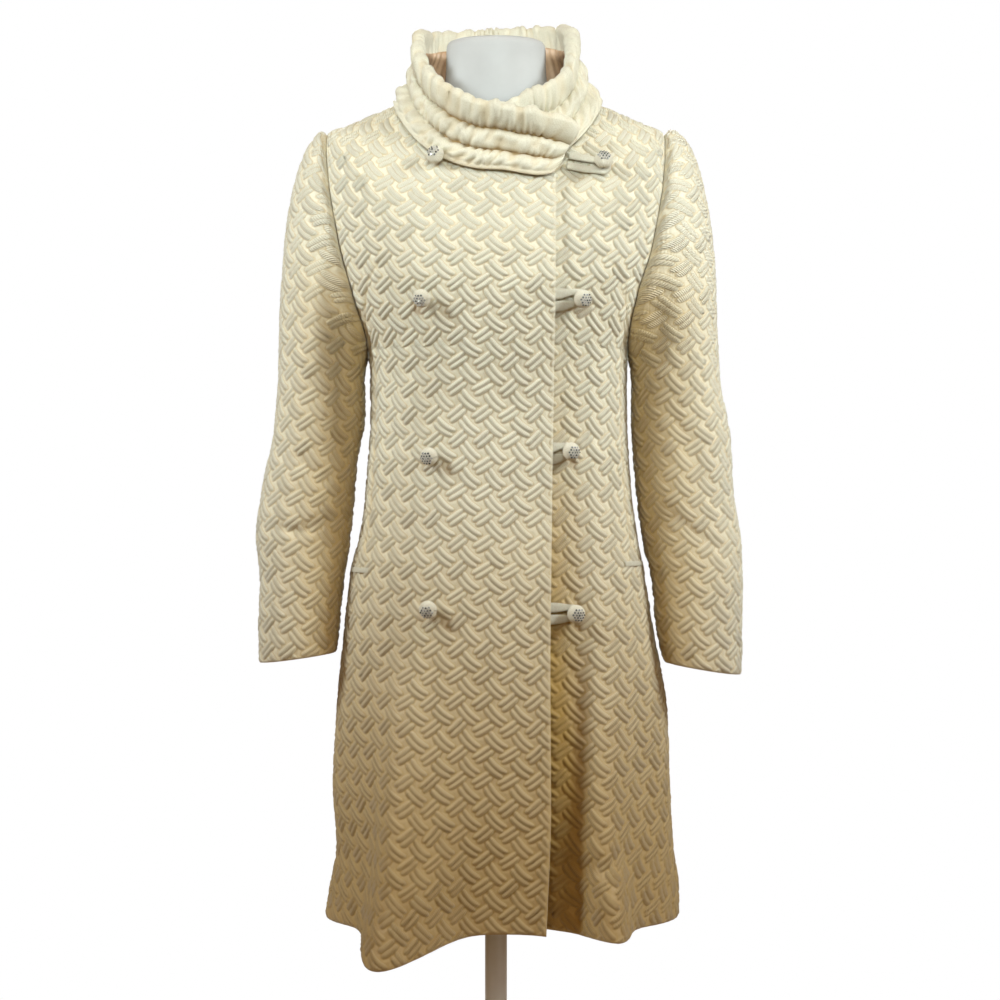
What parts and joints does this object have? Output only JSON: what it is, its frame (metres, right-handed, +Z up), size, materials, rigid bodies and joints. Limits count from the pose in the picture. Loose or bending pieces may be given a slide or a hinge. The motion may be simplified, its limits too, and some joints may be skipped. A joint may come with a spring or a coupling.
{
  "type": "brocade coat on a dress form",
  "caption": "Double-breasted ivory brocade coat with a wrapped, ruched collar, cloth-covered buttons and a flared hem, worn by a white dress form on a round base.",
  "frame": {"origin": "centre of the base's underside, on the floor", "axes": "+Z up along the form's pole, -Y the way the coat faces, +X towards the wearer's left"},
  "size_m": [0.534, 0.3517, 1.4639],
  "materials": {
    "brocade": "soft satin sheen on a puffed weave",
    "collar_band": "soft satin sheen, ruched",
    "lining": "smooth satin",
    "button_cloth": "soft satin sheen",
    "form_shell": "smooth, matte white",
    "stand": "white paint, semi-matte"
  },
  "bodies": {
    "root": {"front_right": "brocade", "front_left": "brocade", "back": "brocade", "sleeve_right": "brocade", "sleeve_left": "brocade", "collar": "collar_band", "collar_lining": "lining", "pocket_edge_right": "brocade", "pocket_edge_left": "brocade", "button_1": "button_cloth", "button_2": "button_cloth", "button_3": "button_cloth", "button_4": "button_cloth", "button_5": "button_cloth", "button_6": "button_cloth", "button_7": "button_cloth", "button_8": "button_cloth", "loop_1": "button_cloth", "loop_2": "button_cloth", "loop_3": "button_cloth", "loop_4": "button_cloth", "form_body": "form_shell", "form_pole": "stand", "form_base": "stand"}
  },
  "joints": []
}
